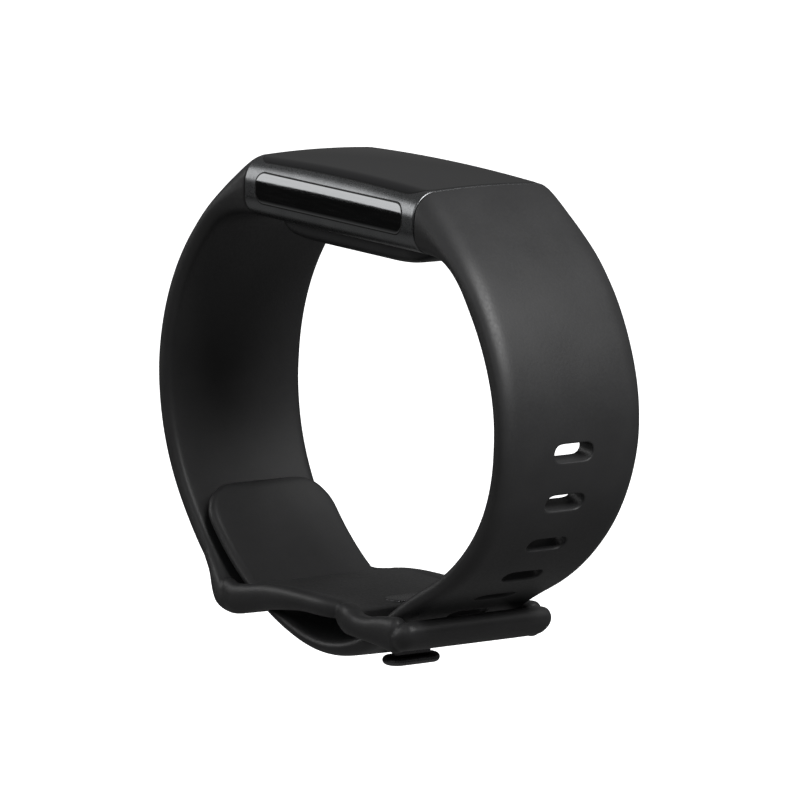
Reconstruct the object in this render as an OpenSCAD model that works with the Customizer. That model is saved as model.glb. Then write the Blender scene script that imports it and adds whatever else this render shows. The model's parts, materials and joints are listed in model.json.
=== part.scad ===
// Fitness tracker band: a slim tracker module on a two-piece silicone band, closed in a ring.
// X runs along the tracker, Y across the band, Z up. The origin is under the ring's centre,
// level with the head of the clasp peg, which is the lowest point.

/* [Tracker] */
// Length of the tracker between its two strap joints
case_len = 36.7; // [36:0.1:38]
// Width of the tracker and of the straps where they meet it
case_w = 22.7; // [22.4:0.1:23.4]
// Height of the case section, glass included, at mid length
case_h = 8.8; // [8.6:0.1:9.2]
// Corner radius of the case section
case_r = 3.3; // [3.1:0.1:3.6]
// Radius of the lengthwise crown of the glass
crown_r = 360; // [320:5:420]
// Thickness of the cover glass
glass_t = 1.0; // [0.8:0.1:1.1]
// How far the sensor bump stands below the case
bump_h = 2.3; // [2:0.1:2.6]

/* [Band] */
// Half the width of the closed ring, outside to outside
ring_half = 38.3; // [38.1:0.1:38.5]
// Height of the ring's centre above the peg head
ring_z = 33.8; // [33.6:0.1:34.4]
// Width of the pierced strap in the clasp
tail_w = 20.2; // [19.5:0.1:20.3]
// Width of the loop strap just above the clasp
loop_w = 21.1; // [20.6:0.1:21.6]
// Width of both straps half way down
mid_w = 22.3; // [22:0.1:22.6]
// Full width of the clasp frame
clasp_w = 24.6; // [24.4:0.1:25]
// Length of an adjustment slot, across the strap
slot_len = 6; // [5.8:0.1:6.6]
// Width of an adjustment slot, along the strap
slot_wid = 2.2; // [2:0.1:2.4]
// Distance from one adjustment slot to the next
slot_pitch = 6.5; // [6.3:0.1:6.7]

/* [Fits] */
// Gap around a seated piece
seat_gap = 0.05; // [0.02:0.01:0.08]

/* [Hidden] */
$fn = 64;
eps = 0.01;
case_top = 31;
case_bot = case_top - case_h;
half_len = case_len / 2;
joint_gap = 0.1;                       // between the case ends and the straps
root_x = half_len + joint_gap;         // where a strap starts
gasket_t = 0.3;
glass_x = 35.8;                        // plan of the cover glass
glass_y = 20.2;
cavity_x = 31.4;                       // inside of the case
cavity_y = 17.4;
cover_x = 28.8;                        // plug of the back cover in the case floor
cover_y = 15.8;
floor_t = 1.2;
bump_x = 33;                           // plan of the sensor bump
bump_y = 16.4;
bump_r = 160;                          // lengthwise crown of the bump
bump_bot = case_bot - bump_h;
window_x = 13;                         // sensor window
window_y = 9;
window_proud = 0.15;
electrode_x = 31.8;                    // side electrodes
electrode_z = [24.45, 28.5];
electrode_deep = 0.9;
electrode_ring = 0.18;                 // width of the seal around each electrode
rail_z = [24.2, 27.5];                 // height of a lug's T rail
slot_top = 27.6;
motor_x = 10;                          // centre of the vibration motor
motor_z = 23.5;
motor_rad = 3.5;
motor_h = 2.3;
board_z = 25.9;
board_t = 0.7;
latch_z = [21.75, 23.7];               // height of a latch
latch_x = [18.9, 21.9];
latch_pocket = [18.8, 23.3];
peg_s = 80.2;                          // distance along the tail from its start to the peg
slot_count = 7;                        // free slots before the one on the peg
bridge_z = [-27.1, -25.1];

// Each strap is a chain of tangent arcs from tracker to tip: [radius, degrees, half thickness].
// A positive radius bends inwards. The start is [x, z, heading].
tail_start = [ring_half - 18.8, 27.3, -27];
tail_arcs = [[33, 44, 1.6], [22.5, 57.6, 1.5], [31, 23.6, 1.4], [-70, 10.2, 1.3], [20.6, 51, 1.25],
             [39.4, 17.3, 1.2]];
tip_arc = [39.4, 24.8, 1.15];
loop_start = [ring_half - 18.85, 27.6, -32];
loop_arcs = [[41.3, 24.3, 1.6], [29.3, 64, 1.5], [38.5, 15.7, 1.4]];
arc_lap = 0.3;                         // degrees by which an arc runs into the next one

// ---- helpers ----
function arc_centre(k, arc) = [k[0] + arc[0] * sin(k[2]), k[1] - arc[0] * cos(k[2])];
function arc_end(k, arc) =
    let (c = arc_centre(k, arc), b = k[2] - sign(arc[0]) * arc[1])
    [c[0] - arc[0] * sin(b), c[1] + arc[0] * cos(b), b];
function knots(k, arcs, i = 0) =
    i >= len(arcs) ? [k] : concat([k], knots(arc_end(k, arcs[i]), arcs, i + 1));

// A stretch of strap: one arc of a flat section, standing in the XZ plane.
module strap_arc(k, arc, width, lap = 0) {
    c = arc_centre(k, arc);
    from = arc[0] > 0 ? k[2] + 90 - arc[1] - lap : k[2] - 90;
    translate([c[0], 0, c[1]]) rotate([90, 0, 0]) rotate([0, 0, from])
        rotate_extrude(angle = arc[1] + lap, $fn = 128)
            translate([abs(arc[0]) - arc[2], -width / 2]) square([2 * arc[2], width]);
}

// A chain of arcs that overlap a little, so that they join into one solid.
module strap_chain(start, arcs, width) {
    k = knots(start, arcs);
    last = len(arcs) - 1;
    for (i = [0:last]) strap_arc(k[i], arcs[i], width, i < last ? arc_lap : 0);
}

// Keeps what is under a width that narrows from the tracker down to the clasp.
module taper(top_w, mid_w, low_w) {
    half = [[top_w / 2, 40], [top_w / 2, 22], [mid_w / 2, 0], [low_w / 2, -20], [low_w / 2, -40]];
    intersection() {
        children();
        rotate([90, 0, 90]) translate([0, 0, -50]) linear_extrude(100)
            polygon(concat(half, [for (i = [4:-1:0]) [-half[i][0], half[i][1]]]));
    }
}

// A side profile in XZ given a width across the band.
module across(width) {
    translate([0, width / 2, 0]) rotate([90, 0, 0]) linear_extrude(width) children();
}

module round_rect(x, y, r) {
    square([x - 2 * r, y], center = true);
    square([x, y - 2 * r], center = true);
    for (sx = [-1, 1], sy = [-1, 1])
        translate([sx * (x / 2 - r), sy * (y / 2 - r)]) circle(r);
}

module tile(x, y, r, z0, z1) {
    translate([0, 0, z0]) linear_extrude(z1 - z0) round_rect(x, y, r);
}

module box(x0, x1, y0, y1, z0, z1) {
    translate([x0, y0, z0]) cube([x1 - x0, y1 - y0, z1 - z0]);
}

// The outer form of the case and glass together, lowered by drop.
module envelope(drop = 0) {
    translate([0, 0, -drop]) intersection() {
        rotate([90, 0, 90]) translate([0, case_bot + case_h / 2, -half_len])
            linear_extrude(case_len) round_rect(case_w, case_h, case_r);
        translate([0, case_w, case_top - crown_r]) rotate([90, 0, 0])
            cylinder(h = 2 * case_w, r = crown_r, $fn = 256);
    }
}

// A stadium prism through a side wall: side is -1 at the front, 1 at the rear.
module electrode_block(side, grow, deep) {
    z = (electrode_z[0] + electrode_z[1]) / 2;
    h = electrode_z[1] - electrode_z[0] + 2 * grow;
    y = side < 0 ? -case_w / 2 - 1 : case_w / 2 - deep;
    translate([0, y, z]) rotate([-90, 0, 0])
        linear_extrude(deep + 1) round_rect(electrode_x + 2 * grow, h, 1.5 + grow);
}

module at_ring() {
    translate([0, 0, ring_z]) children();
}

module on_side(side) {
    if (side > 0) children();
    else mirror([1, 0, 0]) children();
}

// ---- tracker ----
module case_frame() {
    color("#303234") at_ring() difference() {
        envelope();
        difference() {
            tile(glass_x + 0.2, glass_y + 0.2, 3, case_bot + 3, case_top + 1);
            envelope(glass_t + gasket_t);
        }
        tile(cavity_x, cavity_y, 2, case_bot + floor_t, case_top + 1);
        tile(cover_x + 2 * seat_gap, cover_y + 2 * seat_gap, 3, case_bot - 1, case_bot + 2);
        for (side = [-1, 1]) {
            electrode_block(side, electrode_ring, electrode_deep);
            on_side(side) {
                box(16.4, 17.5, -5.6, 5.6, case_bot - 1, slot_top);
                box(17.4, half_len + 1, -4.2, 4.2, case_bot - 1, slot_top);
            }
            for (x = [-8, 8])
                translate([x, side * (cavity_y / 2 - 1), 26.5]) rotate([-90 * side, 0, 0])
                    cylinder(h = 3, r = 0.6);
        }
    }
}

module cover_glass() {
    color("#08090a") at_ring() intersection() {
        difference() {
            envelope();
            envelope(glass_t);
        }
        tile(glass_x, glass_y, 2.9, case_bot + 3, case_top + 1);
    }
}

module glass_gasket() {
    color("#151515") at_ring() intersection() {
        difference() {
            envelope(glass_t);
            envelope(glass_t + gasket_t);
        }
        difference() {
            tile(glass_x, glass_y, 2.9, case_bot + 3, case_top + 1);
            tile(cavity_x, cavity_y, 2, case_bot, case_top + 2);
        }
    }
}

module display_panel() {
    color("#101418") at_ring() tile(28, 15.8, 1, 28.0, 28.9);
}

module display_flex() {
    color("#b5651d") at_ring() across(5) polygon([[14.05, 28.6], [15.2, 28.6], [15.2, 26.3],
        [14.1, 26.3], [14.1, 26.5], [15.0, 26.5], [15.0, 28.4], [14.05, 28.4]]);
}

module electrode(side) {
    color("#4a4d50") at_ring() intersection() {
        envelope();
        electrode_block(side, 0, electrode_deep);
    }
}

module electrode_seal(side) {
    color("#050505") at_ring() intersection() {
        envelope();
        difference() {
            electrode_block(side, electrode_ring, electrode_deep);
            electrode_block(side, 0, electrode_deep + 1);
        }
    }
}

module electrode_contacts() {
    reach = case_w / 2 - electrode_deep;
    color("#c9a227") at_ring() for (side = [-1, 1], x = [-8, 8]) {
        translate([x, side * 8.2, 26.5]) rotate([-90 * side, 0, 0])
            cylinder(h = reach - 8.2, r = 0.45);
        box(x - 0.6, x + 0.6, min(side * 7.2, side * 8.2), max(side * 7.2, side * 8.2),
            board_z + board_t, board_z + board_t + 0.8);
    }
}

module main_board() {
    color("#0b4f2f") at_ring() difference() {
        tile(28, 16.2, 1.5, board_z, board_z + board_t);
        for (x = [-12.2, 12.2]) translate([x, 0, board_z - 1]) cylinder(h = 3, r = 0.6);
    }
}

module board_chips() {
    chips = [[-9, -3, 4, 4, 0.8], [-3.5, 2, 3, 5, 0.7], [5.2, 4.5, 3, 2.4, 0.6],
             [9.6, 3.4, 2.4, 3.2, 0.6],
             [10.4, -4.6, 2, 2, 0.5]];
    color("#1b1b1d") at_ring() {
        for (c = chips)
            translate([c[0], c[1], board_z + board_t + c[4] / 2])
                cube([c[2], c[3], c[4]], center = true);
        for (i = [0:5])
            translate([3 + 1.6 * i, -0.6, board_z + board_t + 0.2]) cube([1, 0.6, 0.4], center = true);
    }
}

module shield_can() {
    color("#9a9da0") at_ring() difference() {
        box(-12.6, 0.2, -6.2, 6.2, board_z + board_t, board_z + board_t + 1.2);
        box(-12.4, 0, -6, 6, board_z, board_z + board_t + 1);
    }
}

module battery_cell() {
    color("#8d9196") at_ring() translate([-5, 0, 0]) {
        tile(16, 13.2, 1, 23.5, 25.6);
        box(8, 9, -5, 5, 24, 25.2);
    }
}

module battery_pad() {
    color("#d8d8d0") at_ring() box(-13, 3, -6, 6, 25.6, board_z);
}

module antenna_strip() {
    color("#c98a3a") at_ring() union() {
        box(-14, -4, 8.2, 8.6, 26.9, 27.9);
        box(-14, -13, 6.8, 8.6, board_z + board_t, 27.1);
    }
}

module motor_case() {
    color("#b8babd") at_ring() translate([motor_x, 0, motor_z]) difference() {
        cylinder(h = motor_h, r = motor_rad);
        translate([0, 0, 0.25]) cylinder(h = motor_h - 0.5, r = motor_rad - 0.25);
    }
}

module motor_shaft() {
    color("#e0e0e0") at_ring() translate([motor_x, 0, motor_z + 0.25])
        cylinder(h = motor_h - 0.5, r = 0.4);
}

module motor_weight() {
    color("#6d6f73") at_ring() translate([motor_x, 0, motor_z + 0.55]) difference() {
        union() {
            intersection() {
                cylinder(h = 1.2, r = 2.9);
                box(0, 4, -4, 4, -1, 3);
            }
            cylinder(h = 1.2, r = 1);
        }
        translate([0, 0, -1]) cylinder(h = 4, r = 0.45);
    }
}

// The plug in the case floor and the crowned bump that rests on the wrist.
module back_cover() {
    color("#17181a") at_ring() difference() {
        union() {
            tile(cover_x, cover_y, 2.95, case_bot - eps, case_bot + floor_t);
            intersection() {
                tile(bump_x, bump_y, 4, bump_bot - 1, case_bot);
                translate([0, case_w, bump_bot + bump_r]) rotate([90, 0, 0])
                    cylinder(h = 2 * case_w, r = bump_r, $fn = 256);
            }
        }
        tile(17, 11.6, 1.5, bump_bot + 1.15, case_bot + 3);
        tile(window_x + 2 * seat_gap, window_y + 2 * seat_gap, 2.05, bump_bot - 2, case_bot);
        for (side = [-1, 1]) translate([11.5, side * 2.6, bump_bot - 2]) cylinder(h = 8, r = 0.75);
    }
}

module back_gasket() {
    color("#9c2f2f") at_ring() difference() {
        tile(cover_x - 0.4, cover_y - 0.4, 2.7, case_bot + floor_t, case_bot + floor_t + 0.25);
        tile(cover_x - 1.6, cover_y - 1.6, 2.1, case_bot, case_bot + 4);
        translate([motor_x, 0, motor_z - 1]) cylinder(h = 4, r = motor_rad + 0.1);
    }
}

module sensor_window() {
    color("#0c0d10") at_ring()
        tile(window_x, window_y, 2, bump_bot - window_proud, bump_bot + 1.15);
}

module sensor_board() {
    color("#0b4f2f") at_ring() tile(16.4, 11, 1, case_bot, case_bot + 0.6);
}

module sensor_leds() {
    color("#3fbf5f") at_ring() for (y = [-1.3, 0, 1.3])
        translate([0, y, case_bot - 0.2]) cube([1.6, 0.9, 0.4], center = true);
}

module photodiodes() {
    color("#27313f") at_ring() for (side = [-1, 1])
        translate([side * 4.2, 0, case_bot - 0.15]) cube([2.6, 3.4, 0.3], center = true);
}

module light_baffle() {
    color("#111111") at_ring() difference() {
        tile(14.4, 10, 1, bump_bot + 1.2, case_bot - 0.05);
        tile(3.4, 7, 0.5, bump_bot, case_bot + 1);
        for (side = [-1, 1]) translate([side * 4.2, 0, 0]) tile(3.8, 7, 0.5, bump_bot, case_bot + 1);
    }
}

module charge_pins() {
    color("#d4af37") at_ring() for (side = [-1, 1])
        translate([11.5, side * 2.6, bump_bot + 0.75]) cylinder(h = 2.6, r = 0.7);
}

// ---- band ----
// The wedge that brings the full height of the case down to the strap, right-hand side.
module root_wedge(low) {
    across(case_w)
        polygon([[root_x, 22.2], [root_x, 30.5], [20, 29.25], [22, 27.6], [26, 24.2],
                 [27.4, 19.4 + low], [24.2, 21.4], [21, 21.9]]);
}

// What a strap root gives up to its lug, latch and spring, right-hand side.
module root_pockets() {
    lug_solid();
    box(latch_pocket[0], latch_pocket[1], -3.6, 3.6, 18, 23.9);
    box(root_x - 1, latch_pocket[0] + eps, -2.1, 2.1, 22.6, 23.6);
}

module stadium(len, wid) {
    square([wid, len - wid], center = true);
    for (side = [-1, 1]) translate([0, side * (len - wid) / 2]) circle(wid / 2);
}

// A point on the tail at a distance before the peg, as [x, z, heading].
function along(k, arcs, s, i = 0) =
    let (full = abs(arcs[i][0]) * arcs[i][1] * PI / 180)
    s <= full || i == len(arcs) - 1
        ? arc_end(k, [arcs[i][0], s / full * arcs[i][1], 0])
        : along(arc_end(k, arcs[i]), arcs, s - full, i + 1);

module tail_slot(s) {
    p = along(tail_start, tail_arcs, s);
    translate([p[0], 0, p[1]]) rotate([0, -p[2], 0])
        translate([0, 0, -3]) linear_extrude(6) stadium(slot_len, slot_wid);
}

module tail_strap() {
    color("#1d1e20") at_ring() difference() {
        taper(case_w, mid_w, tail_w) {
            root_wedge(0);
            strap_chain(tail_start, tail_arcs, case_w);
        }
        box(0, root_x, -20, 20, 20, 40);
        root_pockets();
        for (i = [0:slot_count]) tail_slot(peg_s - i * slot_pitch);
    }
}

// The free end past the second loop, with rounded corners.
module tail_tip() {
    k = knots(tail_start, tail_arcs);
    crease = arc_end(k[len(tail_arcs)], [tip_arc[0], 0.15, 0]);
    tip_r = 5.5;
    tip_end = -29.6;
    color("#1d1e20") at_ring() intersection() {
        strap_arc(crease, tip_arc, tail_w);
        translate([tip_end + tail_w / 2, 0, 0]) tile(tail_w, tail_w, tip_r, -40, 0);
    }
}

module loop_strap() {
    color("#1d1e20") at_ring() {
        difference() {
            union() {
                mirror([1, 0, 0]) taper(case_w, mid_w, loop_w) {
                    root_wedge(0.3);
                    strap_chain(loop_start, loop_arcs, case_w);
                }
                clasp_frame();
            }
            mirror([1, 0, 0]) box(0, root_x, -20, 20, 20, 40);
            mirror([1, 0, 0]) root_pockets();
            at_peg() translate([0, 0, -40]) linear_extrude(40) stadium(4.7, 1.3);
            at_peg() translate([0, 0, bridge_z[1] - 0.5]) linear_extrude(3) stadium(9.4, 3.6);
        }
    }
}

// The figure-of-eight frame at the end of the loop strap: base bar, bridge, side rails and rim.
module clasp_frame() {
    outer = clasp_w / 2;
    inner = tail_w / 2 + 0.35;
    across(2 * (outer - 0.4)) polygon([[-27.4, -24.4], [-26, -22.9], [-24.7, -24],
        [-21.2, -26.6], [-17.4, -28.6], [-16.9, -29.6], [-17.6, -30.7], [-20.2, -30.85], [-22.6, -30.2]]);
    bridge_plate(outer);
    for (side = [-1, 1]) translate([0, side * (outer + inner) / 2, 0]) {
        across(outer - inner - 0.3) polygon([[-22.4, -28.4], [-21.2, -30.4], [-17.5, -30.8],
            [-11, -29.1], [-6, -28.4], [0, -27.4], [0, -25.2], [-12, -25.4], [-17, -27.2]]);
        across(outer - inner) polygon([[7, -27.1], [8, -27.5], [11, -28.6], [17, -28.6], [19, -26.8],
            [17, -25.6], [12, -26.2], [8, -25.4], [7, -25.2]]);
    }
    across(2 * outer) translate([18.4, -27]) rotate(40) stadium_long(5.2, 3.1);
}

module stadium_long(len, wid) {
    square([len - wid, wid], center = true);
    for (side = [-1, 1]) translate([side * (len - wid) / 2, 0]) circle(wid / 2);
}

// The bridge plate, waisted in the middle.
module bridge_plate(outer) {
    translate([0, 0, bridge_z[0]]) linear_extrude(bridge_z[1] - bridge_z[0])
        polygon([[-12, -outer + 0.5], [2, -outer + 0.5], [4.5, -10], [6.5, -10], [8.5, -outer],
                 [8.5, outer], [6.5, 10], [4.5, 10], [2, outer - 0.5], [-12, outer - 0.5]]);
}

module at_peg() {
    translate([along(tail_start, tail_arcs, peg_s)[0], 0, 0]) children();
}

module clasp_peg() {
    color("#2a2b2d") at_ring() at_peg() {
        translate([0, 0, bridge_z[1] - 0.5]) linear_extrude(0.5) stadium(9.3, 3.5);
        translate([0, 0, 1 - ring_z]) linear_extrude(ring_z - 1 + bridge_z[1] - 0.4)
            stadium(4.6, 1.2);
        translate([0, 0, -ring_z]) linear_extrude(1.2) stadium(8.5, 3.6);
    }
}

// ---- fastening of the straps ----
module lug_solid() {
    box(16.5, 17.4, -5.5, 5.5, rail_z[0], rail_z[1]);
    box(17.3, root_x + 0.2, -4.1, 4.1, rail_z[0], rail_z[1]);
    box(root_x, 20.6, -6.5, 6.5, rail_z[0], rail_z[1]);
}

module lug(side) {
    color("#3b3d40") at_ring() on_side(side) lug_solid();
}

module latch(side) {
    color("#2c2d2f") at_ring() on_side(side) union() {
        difference() {
            box(latch_x[0], latch_x[1], -3.4, 3.4, latch_z[0], latch_z[1]);
            for (i = [0:3]) box(latch_x[0] + 0.5 + 0.6 * i, latch_x[0] + 0.8 + 0.6 * i, -2.8, 2.8,
                                latch_z[0] - 1, latch_z[0] + 0.2);
        }
        box(17.7, latch_x[0] + eps, -1.9, 1.9, 22.75, 23.45);
    }
}

module latch_spring(side) {
    x0 = latch_x[1] + 0.05;
    x1 = latch_pocket[1] - 0.05;
    w = 0.12;
    color("#b0b3b6") at_ring() on_side(side) translate([0, 0, 22.3]) linear_extrude(0.9)
        for (y = [-2, 0, 2])
            polygon([[x0, y - 0.8], [x1 - w, y], [x0, y + 0.8], [x0 + w, y + 0.8], [x1, y],
                     [x0 + w, y - 0.8]]);
}

case_frame();
cover_glass();
glass_gasket();
display_panel();
display_flex();
electrode(-1);  // electrode_front
electrode(1);  // electrode_rear
electrode_seal(-1);  // electrode_seal_front
electrode_seal(1);  // electrode_seal_rear
electrode_contacts();
main_board();
board_chips();
shield_can();
battery_cell();
battery_pad();
antenna_strip();
motor_case();
motor_shaft();
motor_weight();
back_cover();
back_gasket();
sensor_window();
sensor_board();
sensor_leds();
photodiodes();
light_baffle();
charge_pins();
loop_strap();
tail_strap();
tail_tip();
lug(-1);  // lug_left
lug(1);  // lug_right
latch(-1);  // latch_left
latch(1);  // latch_right
latch_spring(-1);  // latch_spring_left
latch_spring(1);  // latch_spring_right
clasp_peg();
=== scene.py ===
"""Looks for a fitness tracker band: silicone straps, clasp, metal case, glass and sensor.

Lengths are millimetres from the centre of the closed ring until at() turns them into the frame's metres.
"""

import json
import math

import bmesh
import bpy
import numpy as np
from mathutils import Matrix, Vector


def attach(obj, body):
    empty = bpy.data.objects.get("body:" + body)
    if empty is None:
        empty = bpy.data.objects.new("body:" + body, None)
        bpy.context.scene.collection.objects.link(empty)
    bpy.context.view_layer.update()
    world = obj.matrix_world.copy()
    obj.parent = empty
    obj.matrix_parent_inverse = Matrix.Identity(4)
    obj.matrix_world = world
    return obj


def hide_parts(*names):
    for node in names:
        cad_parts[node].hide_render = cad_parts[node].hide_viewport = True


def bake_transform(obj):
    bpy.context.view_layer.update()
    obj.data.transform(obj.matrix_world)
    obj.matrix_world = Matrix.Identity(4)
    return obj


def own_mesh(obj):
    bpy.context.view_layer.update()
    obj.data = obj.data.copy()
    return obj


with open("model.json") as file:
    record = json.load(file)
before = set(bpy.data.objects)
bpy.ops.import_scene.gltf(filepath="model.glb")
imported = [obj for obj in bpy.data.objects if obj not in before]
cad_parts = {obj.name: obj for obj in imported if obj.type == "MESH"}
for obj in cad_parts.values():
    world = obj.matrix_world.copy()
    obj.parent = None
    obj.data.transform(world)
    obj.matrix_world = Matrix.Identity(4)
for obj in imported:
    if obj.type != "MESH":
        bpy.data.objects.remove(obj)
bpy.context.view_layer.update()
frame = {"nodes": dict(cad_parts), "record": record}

RING_Z = 33.8  # height of the ring's centre above the underside of the peg
MM = 0.001


def at(x, y, z):
    """A ring-centred point in millimetres as a point of the frame in metres."""
    return Vector((x * MM, y * MM, (z + RING_Z) * MM))


# ---------------------------------------------------------------- camera

CAM_AZIMUTH = math.radians(53.131)
CAM_ELEVATION = math.radians(9.953)
CAM_ROLL = math.radians(1.681)
CAM_DISTANCE = 908.926
CAM_LENS = 315.27
CAM_SHIFT = (0.00941, -0.0006)


def make_camera():
    """The photograph's long-lens view, aimed at the ring's centre."""
    back = Vector(
        (
            math.sin(CAM_AZIMUTH) * math.cos(CAM_ELEVATION),
            -math.cos(CAM_AZIMUTH) * math.cos(CAM_ELEVATION),
            math.sin(CAM_ELEVATION),
        )
    )
    right = Vector((0, 0, 1)).cross(back).normalized()
    up = back.cross(right)
    r = right * math.cos(CAM_ROLL) + up * math.sin(CAM_ROLL)
    u = up * math.cos(CAM_ROLL) - right * math.sin(CAM_ROLL)
    data = bpy.data.cameras.new("camera")
    data.lens = CAM_LENS
    data.sensor_width = 36
    data.shift_x, data.shift_y = CAM_SHIFT
    data.clip_start = 0.01
    data.clip_end = 20
    cam = bpy.data.objects.new("camera", data)
    bpy.context.scene.collection.objects.link(cam)
    m = Matrix((r, u, back)).transposed().to_4x4()
    m.translation = at(*(back * CAM_DISTANCE))
    cam.matrix_world = m
    bpy.context.scene.camera = cam


make_camera()

# ---------------------------------------------------------------- materials


def new_material(name):
    mat = bpy.data.materials.new(name)
    mat.use_nodes = True
    tree = mat.node_tree
    return mat, tree, tree.nodes["Principled BSDF"]


def noise(tree, scale, detail=3.0, rough=0.5, coord=None):
    """A noise texture in the object's own metres."""
    if coord is None:
        coord = tree.nodes.new("ShaderNodeTexCoord").outputs["Object"]
    n = tree.nodes.new("ShaderNodeTexNoise")
    n.inputs["Scale"].default_value = scale
    n.inputs["Detail"].default_value = detail
    n.inputs["Roughness"].default_value = rough
    tree.links.new(coord, n.inputs["Vector"])
    return n.outputs["Fac"]


def ramp(tree, value, low, high, a, b):
    """Maps value from low..high to a..b."""
    m = tree.nodes.new("ShaderNodeMapRange")
    m.inputs["From Min"].default_value = low
    m.inputs["From Max"].default_value = high
    m.inputs["To Min"].default_value = a
    m.inputs["To Max"].default_value = b
    tree.links.new(value, m.inputs["Value"])
    return m.outputs["Result"]


def tint(tree, value, dark, light):
    """A colour between dark and light."""
    c = tree.nodes.new("ShaderNodeValToRGB")
    c.color_ramp.elements[0].color = (*dark, 1)
    c.color_ramp.elements[1].color = (*light, 1)
    tree.links.new(value, c.inputs["Fac"])
    return c.outputs["Color"]


def bump(tree, bsdf, height, distance, strength=1.0, below=None):
    b = tree.nodes.new("ShaderNodeBump")
    b.inputs["Strength"].default_value = strength
    b.inputs["Distance"].default_value = distance
    tree.links.new(height, b.inputs["Height"])
    if below is not None:
        tree.links.new(below, b.inputs["Normal"])
    tree.links.new(b.outputs["Normal"], bsdf.inputs["Normal"])
    return b.outputs["Normal"]


def grained(name, dark, light, rough, grain=900, depth=0.00003, metallic=0.0, specular=0.5, spread=0.06):
    """A surface whose colour, gloss and relief vary softly: silicone, moulded plastic or blasted metal."""
    mat, tree, bsdf = new_material(name)
    bsdf.inputs["Metallic"].default_value = metallic
    bsdf.inputs["Specular IOR Level"].default_value = specular
    broad = noise(tree, grain * 0.06, 2)
    fine = noise(tree, grain, 4, 0.6)
    tree.links.new(tint(tree, ramp(tree, broad, 0.3, 0.7, 0, 1), dark, light), bsdf.inputs["Base Color"])
    tree.links.new(ramp(tree, fine, 0.3, 0.7, rough - spread, rough + spread), bsdf.inputs["Roughness"])
    bump(tree, bsdf, fine, depth)
    return mat


def brushed(name, dark, light, rough, axis_scale, depth=0.000004):
    """Polished or brushed metal with fine scratches drawn out along one axis."""
    mat, tree, bsdf = new_material(name)
    bsdf.inputs["Metallic"].default_value = 1.0
    mapping = tree.nodes.new("ShaderNodeMapping")
    mapping.inputs["Scale"].default_value = axis_scale
    tree.links.new(tree.nodes.new("ShaderNodeTexCoord").outputs["Object"], mapping.inputs["Vector"])
    lines = noise(tree, 1.0, 5, 0.6, mapping.outputs["Vector"])
    tree.links.new(tint(tree, lines, dark, light), bsdf.inputs["Base Color"])
    tree.links.new(ramp(tree, lines, 0.3, 0.7, rough - 0.04, rough + 0.05), bsdf.inputs["Roughness"])
    bump(tree, bsdf, lines, depth)
    return mat


def glassy(name, dark, light, rough):
    """Black polished glass with a faint, broad variation and a clear coat."""
    mat, tree, bsdf = new_material(name)
    bsdf.inputs["Specular IOR Level"].default_value = 0.5
    bsdf.inputs["Coat Weight"].default_value = 0.3
    bsdf.inputs["Coat Roughness"].default_value = 0.02
    broad = noise(tree, 60, 2)
    tree.links.new(tint(tree, broad, dark, light), bsdf.inputs["Base Color"])
    tree.links.new(ramp(tree, broad, 0.3, 0.7, rough, rough + 0.03), bsdf.inputs["Roughness"])
    bump(tree, bsdf, broad, 0.00001, 0.3)
    return mat


MATERIALS = {
    "silicone": grained("silicone", (0.034, 0.034, 0.035), (0.042, 0.042, 0.043), 0.46, 2600, 0.000014),
    "case_metal": grained("case_metal", (0.2, 0.204, 0.21), (0.24, 0.245, 0.25), 0.3, 5200, 0.000004, 1.0),
    "glass": glassy("glass", (0.004, 0.004, 0.005), (0.006, 0.006, 0.007), 0.05),
    "seal": grained("seal", (0.006, 0.006, 0.006), (0.01, 0.01, 0.01), 0.6, 1800),
    "display": glassy("display", (0.01, 0.012, 0.016), (0.016, 0.019, 0.024), 0.12),
    "flex": grained("flex", (0.42, 0.2, 0.05), (0.6, 0.3, 0.09), 0.35, 1400),
    "electrode": brushed("electrode", (0.22, 0.224, 0.228), (0.27, 0.274, 0.278), 0.1,
                         (250, 4000, 4000), 0.000002),
    "gold": brushed("gold", (0.8, 0.58, 0.22), (0.92, 0.72, 0.34), 0.18, (3000, 3000, 500)),
    "pcb": grained("pcb", (0.012, 0.11, 0.05), (0.025, 0.2, 0.1), 0.3, 1500),
    "chip": grained("chip", (0.012, 0.012, 0.013), (0.025, 0.025, 0.027), 0.5, 3500),
    "tin": brushed("tin", (0.5, 0.5, 0.51), (0.66, 0.66, 0.67), 0.28, (600, 4000, 4000)),
    "foil": brushed("foil", (0.44, 0.45, 0.47), (0.58, 0.59, 0.61), 0.3, (900, 3000, 3000)),
    "foam": grained("foam", (0.66, 0.66, 0.63), (0.82, 0.82, 0.8), 0.85, 1700, 0.00005),
    "tungsten": grained("tungsten", (0.22, 0.22, 0.23), (0.34, 0.34, 0.35), 0.42, 2400, 0.00002, 1.0),
    "back_plastic": grained("back_plastic", (0.022, 0.022, 0.024), (0.03, 0.03, 0.032), 0.38, 3600, 0.00001),
    "led": glassy("led", (0.1, 0.5, 0.2), (0.25, 0.8, 0.4), 0.1),
    "lug_metal": brushed("lug_metal", (0.14, 0.14, 0.15), (0.24, 0.24, 0.25), 0.3, (600, 3500, 3500)),
    "latch_plastic": grained("latch_plastic", (0.026, 0.026, 0.028), (0.036, 0.036, 0.038), 0.42,
                             3000, 0.000012),
    "spring": brushed("spring", (0.55, 0.55, 0.56), (0.7, 0.7, 0.71), 0.2, (3000, 500, 3000)),
    "peg_metal": grained("peg_metal", (0.16, 0.16, 0.165), (0.2, 0.2, 0.205), 0.3, 4200, 0.000004, 1.0),
}


def dress(obj, slot):
    obj.data.materials.clear()
    obj.data.materials.append(MATERIALS[slot])


for entry in frame["record"]["subparts"]:
    dress(frame["nodes"][entry["node"]], entry["material_slot"])


# ---------------------------------------------------------------- strap shape


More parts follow.
